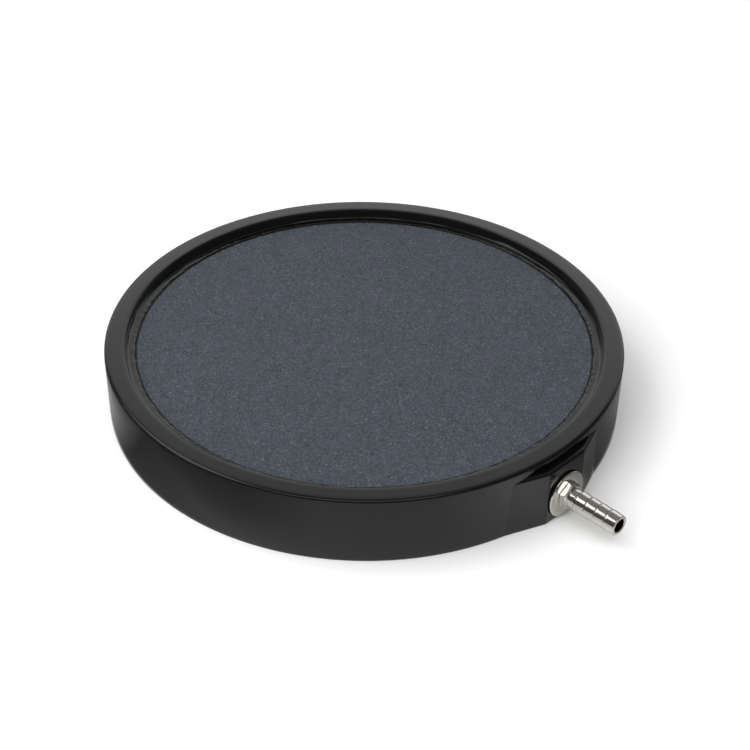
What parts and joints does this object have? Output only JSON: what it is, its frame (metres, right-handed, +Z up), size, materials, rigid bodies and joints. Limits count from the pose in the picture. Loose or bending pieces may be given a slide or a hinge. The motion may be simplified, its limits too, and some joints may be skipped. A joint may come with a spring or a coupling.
{
  "type": "air stone",
  "caption": "Round pond air stone: porous stone disc sealed into a shallow black cup, with a screw-in metal hose barb at its side.",
  "frame": {"origin": "on the disc's axis, in the plane of the face it stands on", "axes": "+Z up along the disc's axis; +X along the hose barb, pointing out of the disc"},
  "size_m": [0.231, 0.203, 0.028],
  "materials": {
    "cup_plastic": "semi-gloss moulded ABS, near black",
    "stone": "dry bonded grain, blue grey, porous",
    "sealant": "glossy poured black resin",
    "insert_brass": "turned, bare",
    "gasket_rubber": "matt black",
    "nickel_plate": "bright nickel plate over turned brass"
  },
  "bodies": {
    "disc": {"housing": "cup_plastic", "diffuser_stone": "stone", "sealant_ring": "sealant", "threaded_insert": "insert_brass"},
    "seal_stack": {"gasket": "gasket_rubber", "flat_washer": "nickel_plate"},
    "fitting": {"hose_barb": "nickel_plate"}
  },
  "joints": [
    {"name": "fitting_travel", "type": "slide", "parent": "disc", "child": "seal_stack", "axis": [1, 0, 0], "range_m": [0, 0.007]},
    {"name": "fitting_turn", "type": "hinge", "parent": "seal_stack", "child": "fitting", "pos_m": [0.1054, 0, 0.0096], "axis": [1, 0, 0], "range_deg": [0, 2520]}
  ],
  "couplings": [
    {"joint": "fitting_travel", "follows": "fitting_turn", "m_per_rad": 0.000159}
  ]
}
